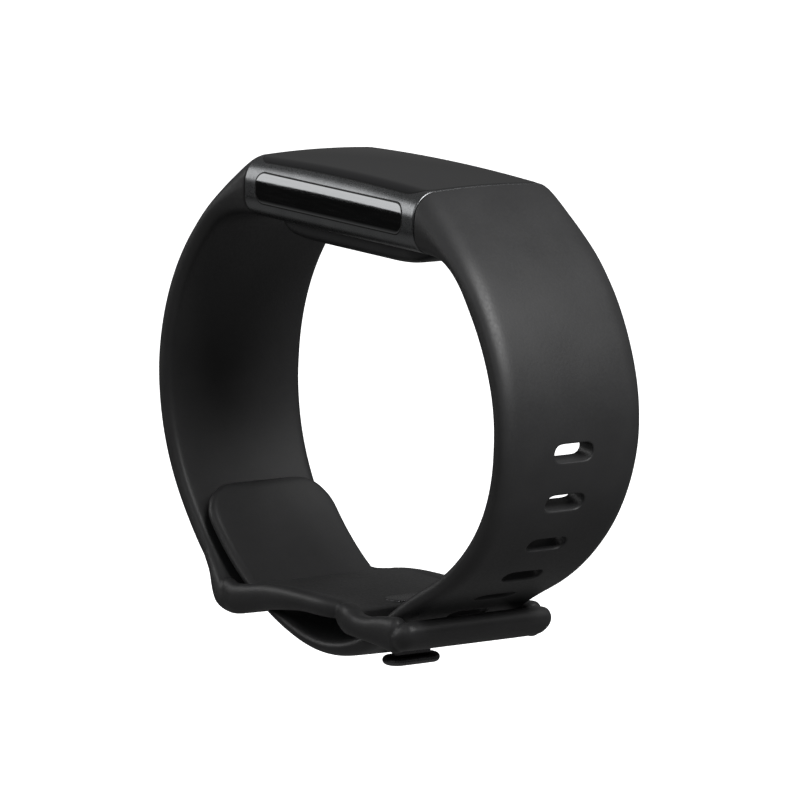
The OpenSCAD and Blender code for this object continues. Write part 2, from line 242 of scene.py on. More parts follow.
def arc_chain(start, arcs):
    """Joins arcs (radius, degrees, half thickness) tangentially. Returns a point function and the length."""
    x, z, a = start[0], start[1], math.radians(start[2])
    pieces, s = [], 0.0
    for radius, degrees, half in arcs:
        cx, cz = x + radius * math.sin(a), z - radius * math.cos(a)
        length = abs(radius) * math.radians(degrees)
        pieces.append((s, length, cx, cz, radius, a, half))
        s += length
        a -= math.copysign(math.radians(degrees), radius)
        x, z = cx - radius * math.sin(a), cz + radius * math.cos(a)

    mids = [p[0] + p[1] / 2 for p in pieces]
    halves = [p[6] for p in pieces]

    def point(d):
        s0, _, cx, cz, radius, a0, _ = next(p for p in reversed(pieces) if d >= p[0] or p is pieces[0])
        b = a0 - (d - s0) / radius
        n = np.array([-math.sin(b), math.cos(b)])
        return np.array([cx, cz]) + radius * n, n, float(np.interp(d, mids, halves))

    return point, s


def bezier(p0, p1, p2, p3, t):
    p0, p1, p2, p3 = map(np.asarray, (p0, p1, p2, p3))
    return (1 - t) ** 3 * p0 + 3 * t * (1 - t) ** 2 * p1 + 3 * t * t * (1 - t) * p2 + t**3 * p3


def smooth(t):
    t = min(max(t, 0.0), 1.0)
    return t * t * (3 - 2 * t)


# ---------------------------------------------------------------- shared sizes

HALF_LEN = 18.35  # half the length of the case
ROOT_X = 18.45  # the straps start here, a tenth of a millimetre off the case
CASE_HALF_W = 11.35
CASE_TOP = 30.98
CASE_BOT = 22.2
CASE_RY = 3.3  # how far the rounding of the case's upper edges reaches across it
CASE_LOW_R = 3.0  # rounding of its lower edges
CORNER_TOP_Z = 26.8  # the sides are upright between these two heights
CORNER_LOW_Z = CASE_BOT + CASE_LOW_R
CROWN_R = 360.0  # crown of the case and glass along X
CROSS_R = 135.0  # and across it
CROWN = 0.12  # how much the outer face swells across the strap
END_TOP = CASE_TOP - HALF_LEN**2 / (2 * CROWN_R)
MID_HALF_W = 11.15  # half the width of both straps half way down
LATCH_SPAN = (18.9, 21.9)  # a latch along X
SPRING_SPAN = (21.95, 23.25)  # and the spring behind it
PIN_X, PIN_Y = 11.5, (-2.6, 2.6)  # charging pins
PIN_R = 0.7
PIN_HOLE_R = 0.85


# ---------------------------------------------------------------- straps


class Strap:
    """A strap's own coordinates: d along it, y across it, and its inner and outer faces."""

    BLEND_OUT = 8.5  # over this length the outer face leaves the case
    BLEND_IN = 14.0  # over this length the inner face does
    LEAVE = np.array([math.cos(math.radians(25)), -math.sin(math.radians(25))])  # its way off the case

    def __init__(self, start, arcs, low_w, sign):
        self.line, self.length = arc_chain(start, arcs)
        self.low_w, self.sign = low_w, sign
        c, n, h = self.line(self.BLEND_OUT)
        self.out_end, t = c + n * (h - CROWN), np.array([n[1], -n[0]])
        self.out_mid = self.out_end - t * 2.6
        c, n, h = self.line(self.BLEND_IN)
        self.in_end, t = c - n * h, np.array([n[1], -n[0]])
        self.in_mid = self.in_end - t * 5

    def faces(self, d):
        """Inner and outer points of the strap's middle line at d, in the XZ plane."""
        if d < self.BLEND_OUT:
            root = np.array([ROOT_X, END_TOP - CROWN])
            share = max(d, 0) / self.BLEND_OUT
            out = bezier(root, root + self.LEAVE * 2.6, self.out_mid, self.out_end, share)
        else:
            c, n, h = self.line(d)
            out = c + n * (h - CROWN)
        if d < self.BLEND_IN:
            root = np.array([ROOT_X, CASE_BOT])
            inn = bezier(root, root + (5.5, -0.2), self.in_mid, self.in_end, max(d, 0) / self.BLEND_IN)
        else:
            c, n, h = self.line(d)
            inn = c - n * h
        return inn, out

    def half_width(self, d):
        z = self.line(d)[0][1]
        return float(np.interp(z, [-20, 0, 22], [self.low_w / 2, MID_HALF_W, CASE_HALF_W]))

    def place(self, inn, out, y, v):
        """A point at share v of the way from the inner to the outer face."""
        p = inn + (out - inn) * v
        return (self.sign * p[0], y, p[1])


def section(half_w, height, ry_out, rz_out, ry_in, rz_in, crown, columns, corner=6):
    """A cross-section as (y, v) pairs: outer face from -y to y, round edge, inner face back, round edge."""
    def side(ry, rz, top):
        pts = []
        for k in range(1, corner):
            a = math.pi / 2 * k / corner
            lift = rz * (1 - math.cos(a))
            pts.append((half_w - ry + ry * math.sin(a), height - lift if top else lift))
        return pts

    def flat(ry, level, lift):
        edge = half_w - ry
        outer = [columns[-1] + (edge - columns[-1]) * k / 3 for k in (1, 2, 3)]
        ys = [-y for y in reversed(outer)] + list(columns) + outer
        return [(y, level + lift * (1 - (y / edge) ** 2)) for y in ys]

    out_flat = flat(ry_out, height, crown)
    in_flat = flat(ry_in, 0.0, 0.0)
    out_side = side(ry_out, rz_out, True)
    in_side = side(ry_in, rz_in, False)
    mid = (half_w, (height - rz_out + rz_in) / 2)
    right = out_side + [mid] + in_side[::-1]
    left = [(-y, v) for y, v in right[::-1]]
    loop = out_flat + right + in_flat[::-1] + left
    return [(y, v / height) for y, v in loop], len(out_flat), len(right)


def mesh_object(name, verts, faces, slot, body, subdivide=0, smooth_shade=True):
    mesh = bpy.data.meshes.new(name)
    mesh.from_pydata([at(*v) for v in verts], [], faces)
    mesh.validate()
    bm = bmesh.new()
    bm.from_mesh(mesh)
    bmesh.ops.remove_doubles(bm, verts=bm.verts, dist=1e-7)
    bmesh.ops.recalc_face_normals(bm, faces=bm.faces)
    bm.to_mesh(mesh)
    bm.free()
    mesh.shade_smooth() if smooth_shade else mesh.shade_flat()
    obj = bpy.data.objects.new(name, mesh)
    bpy.context.scene.collection.objects.link(obj)
    if subdivide:
        mod = obj.modifiers.new("subdivide", "SUBSURF")
        mod.levels = mod.render_levels = subdivide
        apply_modifiers(obj)
    dress(obj, slot)
    if body:
        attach(obj, body)
    return obj


def apply_modifiers(obj):
    """Turns the object's modifiers into plain mesh."""
    deps = bpy.context.evaluated_depsgraph_get()
    done = bpy.data.meshes.new_from_object(obj.evaluated_get(deps))
    obj.modifiers.clear()
    old = obj.data
    obj.data = done
    bpy.data.meshes.remove(old)
    obj.data.shade_smooth()


def sharpen(obj, degrees):
    """Keeps the edges that turn by more than an angle crisp."""
    obj.data.set_sharp_from_angle(angle=math.radians(degrees))


def cut(obj, tool):
    """Takes the closed form tool out of obj."""
    mod = obj.modifiers.new("cut", "BOOLEAN")
    mod.operation = "DIFFERENCE"
    mod.solver = "EXACT"
    mod.object = tool
    apply_modifiers(obj)
    bpy.data.objects.remove(tool)


def plain_box(x0, x1, y0, y1, z0, z1):
    """A box that serves as a cutting tool."""
    verts = [(x, y, z) for x in (x0, x1) for y in (y0, y1) for z in (z0, z1)]
    faces = [(0, 1, 3, 2), (4, 6, 7, 5), (0, 4, 5, 1), (2, 3, 7, 6), (0, 2, 6, 4), (1, 5, 7, 3)]
    return mesh_object("tool", verts, faces, "seal", None, smooth_shade=False)


ROOT_CROWN = (CASE_HALF_W - CASE_RY) ** 2 / (2 * CROSS_R)
ROOT_EDGE = 0.16  # the small rounding where a strap or the case ends at their joint


def strap_sections(strap, stations, columns, end_r=0.0):
    """Cross-section loops at each station, with the free end rounded if end_r is set."""
    loops = []
    for d in stations:
        inn, out = strap.faces(d)
        w = strap.half_width(d)
        f = smooth(d / 16)
        g = smooth(d / 60)
        height = float(np.linalg.norm(out - inn))
        ry_out = CASE_RY + (2.9 - CASE_RY) * f - 1.1 * g
        rz_out = min(3.5 + (1.5 - 3.5) * f - 0.3 * g, height * 0.52)
        ry_in = CASE_LOW_R + (1.3 - CASE_LOW_R) * f - 0.2 * g
        rz_in = min(CASE_LOW_R + (1.05 - CASE_LOW_R) * f, height * 0.42)
        crown = CROWN + (ROOT_CROWN - CROWN) * (1 - smooth(d / 8))
        out = out - (out - inn) / height * (crown - CROWN)
        height -= crown - CROWN
        shy = ROOT_EDGE * (1 - math.sqrt(1 - (1 - min(d / ROOT_EDGE, 1)) ** 2))
        w -= shy
        t = (out - inn) / height * shy
        inn, out, height = inn + t, out - t, height - 2 * shy
        cols = columns
        if end_r:
            left = strap.length - d
            if left < end_r:
                cut = end_r - math.sqrt(max(end_r**2 - (end_r - left) ** 2, 0))
                w -= cut
                cols = [c * (w - ry_out - 0.8) / (strap.low_w / 2 - ry_out - 0.8) for c in columns]
            thin = 1.3
            if left < thin:
                k = math.sqrt(max(1 - (1 - left / thin) ** 2, 0.0004))
                mid = (inn + out) / 2
                inn, out = mid + (inn - mid) * k, mid + (out - mid) * k
                height *= k
                rz_out, rz_in = rz_out * k, rz_in * k
                crown *= k
        ring, n_flat, n_side = section(w, height, ry_out, rz_out, ry_in, rz_in, crown, cols)
        loops.append([strap.place(inn, out, y, v) for y, v in ring])
    return loops, n_flat, n_side


ROOT_STATIONS = [0.0, 0.03, 0.08, 0.16, 0.6]  # close together where the root's edge rounds off
COLUMNS = list(range(-5, 6))  # straight columns of the grid, wide enough to frame a slot
SLOT_PITCH = 6.5
STEP = SLOT_PITCH / 6  # station spacing: six steps make one slot pitch
SLOT_HALF = 1.95  # half the straight run of a slot
SLOT_R = 1.1
SLOT_CELLS = 2  # grid steps from a slot's centre to the edge of its patch


def slotted_strap(name, strap, slots, start_d, body, end_r):
    """The pierced strap: a lofted grid with a ring of quads around each slot, on both faces."""
    count = int((strap.length - start_d) / STEP)
    stations = ROOT_STATIONS + [start_d + STEP * i for i in range(count)]
    tail_room = [2.2, 1.6, 1.1, 0.7, 0.4, 0.18, 0.05, 0.005]
    stations = [d for d in stations if d < strap.length - 2.6] + [strap.length - t for t in tail_room]
    loops, n_flat, n_side = strap_sections(strap, stations, COLUMNS, end_r)
    n = len(loops[0])
    verts = [p for loop in loops for p in loop]
    faces = []
    first_col = 3  # index of the column at y = -5 on the outer face
    span = len(COLUMNS) - 1
    inner_first = n_flat + n_side + 3

    def cells(base, d_index, k):
        """True for the grid cells that a slot's patch replaces."""
        on_outer = first_col <= k < first_col + span
        on_inner = inner_first <= k < inner_first + span
        return (on_outer or on_inner) and any(c - SLOT_CELLS <= d_index < c + SLOT_CELLS for c in base)

    centres = [min(range(len(stations)), key=lambda i: abs(stations[i] - s)) for s in slots]
    for i in range(len(loops) - 1):
        for k in range(n):
            if not cells(centres, i, k):
                a, b = i * n + k, i * n + (k + 1) % n
                faces.append((a, b, b + n, a + n))
    faces.append(tuple(range(n))[::-1])
    last = (len(loops) - 1) * n
    out_ids = list(range(n_flat))
    in_ids = list(range(n_flat + n_side, n_flat + n_side + n_flat))[::-1]
    for k in range(n_flat - 1):
        faces.append((last + out_ids[k], last + out_ids[k + 1], last + in_ids[k + 1], last + in_ids[k]))
    right = [out_ids[-1]] + list(range(n_flat, n_flat + n_side)) + [in_ids[-1]]
    left = [in_ids[0]] + list(range(2 * n_flat + n_side, n)) + [out_ids[0]]
    faces.append(tuple(last + k for k in right))
    faces.append(tuple(last + k for k in left))

    def on_strap(ds, y, depth_share):
        inn, out = strap.faces(ds)
        lift = CROWN * (1 - (y / 8.0) ** 2) if depth_share > 0.99 else 0
        h = float(np.linalg.norm(out - inn))
        return strap.place(inn, out, y, depth_share + lift / h)

    for s, c in zip(slots, centres):
        d0, m = stations[c], SLOT_CELLS
        border = []
        for j in range(span):
            border.append((-m, j))
        for i in range(2 * m):
            border.append((-m + i, span))
        for j in range(span, 0, -1):
            border.append((m, j))
        for i in range(2 * m, 0, -1):
            border.append((-m + i, 0))

        def rim(extra):
            pts = []
            for i, j in border:
                ds, y = i * STEP, COLUMNS[j]
                cy = min(max(y, -SLOT_HALF), SLOT_HALF)
                length = math.hypot(ds, y - cy)
                r = SLOT_R + extra
                pts.append((d0 + ds / length * r, cy + (y - cy) / length * r))
            return pts

        outer_ids = [(c + i) * n + first_col + j for i, j in border]
        inner_ids = [(c + i) * n + inner_first + (span - j) for i, j in border]
        rings = [outer_ids]
        for extra, share in ((0.75, 1), (0.28, 1), (0.07, 1), (0.0, 0.96), (0.0, 0.8), (0.0, 0.5), (0.0, 0.2),
                             (0.0, 0.04), (0.07, 0), (0.28, 0), (0.75, 0)):
            ring = []
            for ds, y in rim(extra):
                ring.append(len(verts))
                verts.append(on_strap(ds, y, share))
            rings.append(ring)
        rings.append(inner_ids)
        for a, b in zip(rings, rings[1:]):
            for k in range(len(a)):
                q = (k + 1) % len(a)
                faces.append((a[k], a[q], b[q], b[k]))
    return mesh_object(name, verts, faces, "silicone", body, 1)


def cut_latch_pocket(obj, side):
    """Takes the room of a latch and its spring out of a strap's root."""
    x0, x1 = sorted((side * 18.0, side * 23.3))
    cut(obj, plain_box(x0, x1, -3.6, 3.6, 20.0, 23.9))
    sharpen(obj, 60)
    dress(obj, "silicone")


TAIL = Strap(
    (19.5, 27.3, -27),
    [(33, 44, 1.6), (22.5, 57.6, 1.5), (31, 23.6, 1.4),
     (-70, 10.2, 1.25), (20.6, 51, 1.15), (39.4, 42.1, 1.08)],
    20.2,
    1,
)
LOOP = Strap((19.45, 27.6, -32), [(41.3, 24.3, 1.6), (29.3, 64, 1.5), (38.5, 15.7, 1.4)], 21.1, -1)
PEG_D = 80.2  # distance along the tail to the peg

grid_start = PEG_D % STEP + STEP  # so that the slots fall on stations
slots = [PEG_D - SLOT_PITCH * i for i in range(8)]
tail = slotted_strap("tail_strap_soft", TAIL, slots, grid_start, None, 5.5)
cut_latch_pocket(tail, 1)
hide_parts("tail_strap", "tail_tip")
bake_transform(tail)


# ---------------------------------------------------------------- loop strap and clasp


def capped_loft(loops):
    """Vertices and faces of a closed form through equal cross-section loops."""
    n = len(loops[0])
    verts = [p for loop in loops for p in loop]
    faces = []
    for i in range(len(loops) - 1):
        for k in range(n):
            a, b = i * n + k, i * n + (k + 1) % n
            faces.append((a, b, b + n, a + n))
    faces.append(tuple(range(n))[::-1])
    faces.append(tuple((len(loops) - 1) * n + k for k in range(n)))
    return verts, faces


def rounded_bar(path, sizes, turns=24, lean=None, square=1.0):
    """A bar along a path of (x, y, z) with domed ends. Sizes are (width, height), square > 1 flattens it."""
    def bow(v):
        return math.copysign(abs(v) ** (1 / square), v)

    pts = [np.array(p, float) for p in path]
    loops = []
    for i, p in enumerate(pts):
        t = pts[min(i + 1, len(pts) - 1)] - pts[max(i - 1, 0)]
        t /= np.linalg.norm(t)
        up = np.array([0.0, 0.0, 1.0]) if lean is None else np.array(lean, float)
        side = np.cross(t, up)
        side /= np.linalg.norm(side)
        up = np.cross(side, t)
        w, h = sizes[i]
        turn = [2 * math.pi * k / turns for k in range(turns)]
        loops.append([p + side * w / 2 * bow(math.cos(a)) + up * h / 2 * bow(math.sin(a)) for a in turn])
    for end, inward in ((0, 1), (-1, -1)):
        p, nxt = pts[end], pts[end + inward]
        t = (p - nxt) / np.linalg.norm(p - nxt)
        dome = []
        depth = min(sizes[end]) / 2
        for a in (25, 50, 72, 88):
            c, q = math.cos(math.radians(a)), math.sin(math.radians(a))
            dome.append([p + (np.array(v) - p) * c + t * depth * q for v in loops[end]])
        loops = dome[::-1] + loops if end == 0 else loops + dome
    return capped_loft(loops)


def spline(points, steps):
    """A Catmull-Rom curve through points of any dimension."""
    pts = [np.array(p, float) for p in points]
    pts = [2 * pts[0] - pts[1]] + pts + [2 * pts[-1] - pts[-2]]
    out = []
    for i in range(1, len(pts) - 2):
        p0, p1, p2, p3 = pts[i - 1 : i + 3]
        for k in range(steps):
            t = k / steps
            square = (2 * p0 - 5 * p1 + 4 * p2 - p3) * t**2
            cube = (3 * p1 - p0 - 3 * p2 + p3) * t**3
            out.append(0.5 * (2 * p1 + (p2 - p0) * t + square + cube))
    out.append(pts[-2])
    return out


def bar(points, steps=6, lean=None, square=1.0):
    """A rounded bar from (x, y, z, width, height) points."""
    path = spline(points, steps)
    return rounded_bar([p[:3] for p in path], [tuple(p[3:5]) for p in path], lean=lean, square=square)


def plate(x_edges, half_widths, z_top, z_low, edge=0.9):
    """A thin waisted plate with rounded edges, lofted along X."""
    loops = []
    path = spline(list(zip(x_edges, half_widths, z_top, z_low)), 5)
    for x, w, top, low in path:
        mid, half = (top + low) / 2, (top - low) / 2
        loop = []
        for side in (1, -1):
            for k in range(9):
                a = math.pi / 2 - math.pi * k / 8
                loop.append((x, side * (w - edge + edge * math.cos(a)), mid + side * half * math.sin(a)))
        loops.append(loop)
    return capped_loft(loops)


RAIL_Y = 11.1
# The side of the frame from the base bar to the rim: x, y, z, width across, height.
# The waist is between the two loops.
NEAR_RAIL = [
    (-20.6, RAIL_Y - 0.5, -28.4, 2.2, 4.4),
    (-18.0, RAIL_Y, -28.5, 2.2, 4.1),
    (-14.6, RAIL_Y, -27.8, 2.2, 3.7),
    (-11.0, RAIL_Y - 0.05, -27.0, 2.3, 3.5),
    (-7.0, RAIL_Y - 0.1, -26.45, 2.5, 3.2),
    (-3.0, RAIL_Y - 0.2, -26.1, 2.7, 2.8),
    (0.6, RAIL_Y - 0.3, -26.0, 2.9, 2.8),
    (2.8, RAIL_Y - 0.6, -26.0, 2.9, 2.7),
    (4.2, RAIL_Y - 1.1, -26.05, 2.7, 2.5),
    (5.4, RAIL_Y - 0.8, -26.5, 2.8, 3.6),
    (7.2, RAIL_Y - 0.2, -26.75, 2.7, 4.0),
    (9.0, RAIL_Y, -27.1, 2.4, 3.3),
    (11.4, RAIL_Y, -27.2, 2.3, 3.3),
    (14.0, RAIL_Y, -27.0, 2.3, 4.0),
    (17.0, RAIL_Y - 0.2, -27.0, 2.6, 4.8),
]
# Past its arcs the loop strap swells into the base bar: inner and outer points in XZ, and half widths.
HEEL = [
    ((23.6, -24.5), (25.5, -26.6), 10.9),
    ((21.8, -26.0), (24.1, -28.6), 11.4),
    ((20.3, -27.1), (22.6, -30.1), 11.75),
    ((19.0, -27.75), (20.6, -30.75), 11.85),
    ((17.9, -28.3), (18.6, -30.8), 11.8),
    ((17.2, -28.8), (17.2, -30.4), 11.6),
]


def heel_loops():
    """Cross-sections that carry the loop strap on into the base bar."""
    rows = [np.array([*inn, *out, w]) for inn, out, w in HEEL]
    inn, out = LOOP.faces(LOOP.length)
    first = np.array([*inn, *out, LOOP.half_width(LOOP.length)])
    path = spline([first] + rows, 3)[1:]
    loops = []
    for i, row in enumerate(path):
        inn, out, w = row[:2], row[2:4], row[4]
        height = float(np.linalg.norm(out - inn))
        rz = min(1.25, height * 0.45)
        ring, _, _ = section(w, height, 1.7, rz, 1.2, rz * 0.8, CROWN, COLUMNS)
        loops.append([LOOP.place(inn, out, y, v) for y, v in ring])
    return loops


def clasp_parts():
    """The forms that melt into the clasp frame."""
    parts = []
    for side in (-1, 1):
        parts.append(bar([(x, side * y, z, w, h) for x, y, z, w, h in NEAR_RAIL], square=1.35))
    heights = ((-10.65, 4.9), (-8, 5.2), (0, 5.25), (8, 5.2), (10.65, 4.9))
    rim = [(18.4, y, -26.95, 3.2, h) for y, h in heights]
    lean = math.radians(40)
    parts.append(bar(rim, lean=(math.cos(lean), 0, math.sin(lean)), square=1.1))
    parts.append(
        plate(
            [-12.2, -9.6, -7, -4, -1, 2, 4.4, 6.4, 8.6],
            [11.2, 11.3, 11.3, 11.2, 11.0, 10.6, 9.8, 10.6, 11.2],
            [-25.3, -25.1, -25.05, -25.05, -25.05, -25.05, -25.05, -25.1, -25.3],
            [-26.9, -27.1, -27.1, -27.1, -27.1, -27.1, -27.1, -27.1, -26.9],
        )
    )
    return parts


def joined_mesh(parts):
    verts, faces = [], []
    for v, f in parts:
        base = len(verts)
        verts += [tuple(p) for p in v]
        faces += [tuple(base + i for i in face) for face in f]
    return verts, faces


def melt(obj, voxel, rounds):
    """Joins overlapping closed forms into one moulded skin."""
    mod = obj.modifiers.new("voxels", "REMESH")
    mod.mode = "VOXEL"
    mod.voxel_size = voxel * MM
    mod.use_smooth_shade = True
    apply_modifiers(obj)
    mod = obj.modifiers.new("smooth", "CORRECTIVE_SMOOTH")
    mod.iterations = rounds
    mod.smooth_type = "LENGTH_WEIGHTED"
    mod.use_only_smooth = True
    mod.factor = 0.5
    apply_modifiers(obj)


def loop_strap():
    """The plain strap with its clasp frame, moulded in one."""
    stations = ROOT_STATIONS + [1.2 + 1.0 * i for i in range(int(LOOP.length - 1.6))] + [LOOP.length]
    loops, _, _ = strap_sections(LOOP, stations, COLUMNS)
    verts, faces = joined_mesh([capped_loft(loops + heel_loops())] + clasp_parts())
    obj = mesh_object("loop_strap_soft", verts, faces, "silicone", None)
    melt(obj, 0.22, 5)
    cut_latch_pocket(obj, -1)
    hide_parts("loop_strap")
    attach(obj, "band")


loop_strap()


# ---------------------------------------------------------------- tracker


def case_top(x):
    return CASE_TOP - x * x / (2 * CROWN_R)


def case_shoulder(x):
    """Height at which the rounding of the upper edges starts."""
    return case_top(x) - ROOT_CROWN


def top_z(x, y):
    """Height of the case's upper skin over a point of its plan."""
    over = abs(y) - CASE_HALF_W + CASE_RY
    if over <= 0:
        return case_top(x) - y * y / (2 * CROSS_R)
    t = min(over / CASE_RY, 1)
    return case_shoulder(x) - (case_shoulder(x) - CORNER_TOP_Z) * (1 - math.sqrt(1 - t * t))


def side_y(x, z):
    """Half width of the case at a height."""
    if z > CORNER_TOP_Z:
        r, t = CASE_RY, (z - CORNER_TOP_Z) / (case_shoulder(x) - CORNER_TOP_Z)
    else:
        r, t = CASE_LOW_R, max(CORNER_LOW_Z - z, 0) / CASE_LOW_R
    return CASE_HALF_W - r * (1 - math.sqrt(max(1 - t * t, 0)))


def case_section(x, inset, corner=24):
    """The case's outline across it at x, drawn in by inset."""
    flat_y, low_y = CASE_HALF_W - CASE_RY, CASE_HALF_W - CASE_LOW_R
    rise = case_shoulder(x) - CORNER_TOP_Z - inset
    turn = [math.pi / 2 * k / corner for k in range(1, corner + 1)]
    half = [(flat_y * k / 10, top_z(x, flat_y * k / 10) - inset) for k in range(11)]
    half += [(flat_y + (CASE_RY - inset) * math.sin(a), CORNER_TOP_Z + rise * math.cos(a)) for a in turn]
    reach = CASE_LOW_R - inset
    half += [(low_y + reach * math.cos(a), CORNER_LOW_Z - reach * math.sin(a)) for a in [0] + turn]
    half += [(low_y * k / 8, CASE_BOT + inset) for k in range(7, -1, -1)]
    return [(x, y, z) for y, z in half] + [(x, -y, z) for y, z in half[-2:0:-1]]


def case():
    """The metal case: one crowned skin with the T slots of the strap joints cut into both ends."""
    near_end = [(HALF_LEN - back, inset) for back, inset in ((0, ROOT_EDGE), (0.03, 0.08), (0.08, 0.03))]
    near_end.append((HALF_LEN - ROOT_EDGE, 0.0))
    inner = [(x * 0.6, 0.0) for x in range(30, -31, -1)]
    stations = near_end + inner + [(-x, e) for x, e in near_end[::-1]]
    verts, faces = capped_loft([case_section(x, e) for x, e in stations])
    obj = mesh_object("case_shell", verts, faces, "case_metal", "tracker")
    for side in (-1, 1):
        cut(obj, plain_box(*sorted((side * 16.4, side * 17.5)), -5.6, 5.6, 21, 27.6))
        cut(obj, plain_box(*sorted((side * 17.4, side * 19.4)), -4.2, 4.2, 21, 27.6))
    sharpen(obj, 50)
    dress(obj, "case_metal")
    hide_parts("case_frame")


def rounded_outline(hx, hy, r, inset, straight=(4, 36), corner=10):
    """A rounded rectangle from (hx, 0) anticlockwise, drawn in by inset. Point k mirrors point -k."""
    hx, hy = hx - inset, hy - inset
    r = min(max(r - inset, 0.25), hy * 0.9)
    upper = [(hx, (hy - r) * k / straight[0]) for k in range(straight[0])]
    turn = [math.pi / 2 * k / corner for k in range(corner + 1)]
    upper += [(hx - r + r * math.cos(a), hy - r + r * math.sin(a)) for a in turn]
    upper += [((hx - r) * (1 - k / straight[1]), hy) for k in range(1, straight[1] + 1)]
    upper += [(-x, y) for x, y in upper[-2::-1]]
    return upper + [(x, -y) for x, y in upper[-2:0:-1]]


def pad(name, shape, rings, embed, slot, body, replaced=(), straight=(4, 36), corner=10):
    """A closed pad in a rounded outline: rings of (inset, lift) from its back round its edge to its face."""
    loops = []
    for inset, lift in rings:
        outline = rounded_outline(*shape, inset, straight, corner)
        loops.append([embed(u, v, lift) for u, v in outline])
    verts, faces = capped_loft(loops)
    n, last = len(loops[0]), len(verts) - len(loops[0])
    faces = faces[:-2]
    for base in (0, last):
        for k in range(n // 2):
            a, b = (n - k) % n, n - k - 1
            quad = [base + k, base + k + 1, base + b, base + a]
            faces.append(tuple(dict.fromkeys(quad)))
    obj = mesh_object(name, verts, faces, slot, body)
    sharpen(obj, 60)
    if replaced:
        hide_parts(*replaced)
    return obj


def inward(first, last, count):
    return [first + (last - first) * k / (count - 1) for k in range(count)]


def glass_and_electrodes():
    def on_top(u, v, lift):
        return (u, v, top_z(u, v) + lift)

    edge = [(0.4, -0.5), (0.0, -0.4), (0.0, -0.08), (0.015, -0.03), (0.05, 0.005), (0.11, 0.024), (0.2, 0.03)]
    face = [(i, 0.03) for i in inward(0.5, 9.85, 22)]
    pad("cover_glass_soft", (GLASS_X, GLASS_Y, 2.9), edge + face, on_top, "glass", "tracker", ["cover_glass"])
    edge = [(0.6, -0.3), (0.0, -0.2), (0.0, 0.0), (0.02, 0.008), (0.3, 0.01), (1.2, -0.2)]
    shape = (GLASS_X + 0.07, GLASS_Y + 0.07, 2.97)
    pad("glass_gasket_soft", shape, edge, on_top, "seal", "tracker", ["glass_gasket"])

    for side, where in ((-1, "front"), (1, "rear")):
        def on_side(u, v, lift, side=side):
            return (u, side * (side_y(u, ELECTRODE_Z + v) + lift), ELECTRODE_Z + v)

        edge = [(0.3, -0.5), (0.0, -0.4), (0.0, -0.07), (0.012, -0.03), (0.045, 0.002), (0.1, 0.018)]
        edge.append((0.2, 0.022))
        face = [(i, 0.022) for i in inward(0.35, 1.9, 10)]
        name = "electrode_" + where
        pad(name + "_soft", (15.9, 2.02, 1.6), edge + face, on_side, "electrode", "tracker", [name])
        edge = [(0.5, -0.3), (0.0, -0.2), (0.0, 0.0), (0.02, 0.008), (0.35, 0.008), (1.2, -0.2)]
        name = "electrode_seal_" + where
        pad(name + "_soft", (16.03, 2.15, 1.73), edge, on_side, "seal", "tracker", [name])


def back():
    """The crowned bump that rests on the wrist, its sensor window and the charging pins."""
    def on_bump(u, v, share):
        along = max(abs(u) - 8.5, 0) / 9.0
        depth = (CASE_BOT + 0.1 - BUMP_BOT) * math.sqrt(1 - along * along)
        return (u, v, CASE_BOT + 0.1 - depth * share)

    reach = 2.2
    round_off = [(reach * (1 - math.cos(a)), math.sin(a)) for a in (math.pi / 2 * k / 14 for k in range(15))]
    face = [(i, 1.0) for i in inward(reach + 0.6, 7.95, 12)]
    rings = round_off + face
    obj = pad("back_cover_soft", (16.5, 8.2, 4.0), rings, on_bump, "back_plastic", "tracker", ["back_cover"])
    for y in PIN_Y:
        cut(obj, disc_tool(PIN_X, y, BUMP_BOT - 1, BUMP_BOT + 1.6, PIN_HOLE_R))
    sharpen(obj, 50)
    dress(obj, "back_plastic")

    def below(u, v, lift):
        return (u, v, BUMP_BOT - lift)

    edge = [(0.3, -0.6), (0.0, -0.5), (0.0, 0.02), (0.02, 0.08), (0.07, 0.12), (0.15, 0.14), (0.3, 0.145)]
    face = [(i, 0.15) for i in inward(0.6, 4.3, 8)]
    pad("sensor_window_soft", (6.5, 4.5, 2.0), edge + face, below, "glass", "tracker", ["sensor_window"])
    for i, (x, y, hx, hy) in enumerate([(0, -1.3, 0.8, 0.45), (0, 0, 0.8, 0.45), (0, 1.3, 0.8, 0.45)]):
        spot(f"window_led_{i}", x, y, hx, hy, "led")
    for i, x in enumerate((-4.2, 4.2)):
        spot(f"window_diode_{i}", x, 0, 1.3, 1.7, "display")


def spot(name, x, y, hx, hy, slot):
    """A sensor seen through the window: a thin tile just proud of it."""
    def below(u, v, lift):
        return (x + u, y + v, BUMP_BOT - lift)

    rings = [(0.05, 0.1), (0.0, 0.12), (0.0, 0.148), (0.03, 0.15), (hy * 0.8, 0.15)]
    pad(name, (hx, hy, 0.2), rings, below, slot, "tracker", straight=(2, 4), corner=4)


def disc_tool(x, y, z0, z1, r, turns=48):
    turn = [2 * math.pi * k / turns for k in range(turns)]
    ring = [(x + r * math.cos(a), y + r * math.sin(a)) for a in turn]
    verts, faces = capped_loft([[(u, v, z) for u, v in ring] for z in (z0, z1)])
    return mesh_object("tool", verts, faces, "seal", None, smooth_shade=False)


def turned(name, x, y, profile, slot, body, replaced=(), stretch=0.0, turns=64):
    """A form turned about an upright axis from (radius, z) points, drawn out along Y by stretch."""
    loops = []
    for r, z in profile:
        loop = []
        for k in range(turns):
            a = 2 * math.pi * k / turns
            shift = math.copysign(stretch, math.sin(a)) if abs(math.sin(a)) > 1e-9 else 0.0
            loop.append((x + r * math.cos(a), y + r * math.sin(a) + shift, z))
        loops.append(loop)
    verts, faces = capped_loft(loops)
    obj = mesh_object(name, verts, faces, slot, body)
    sharpen(obj, 50)
    if replaced:
        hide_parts(*replaced)
    return obj


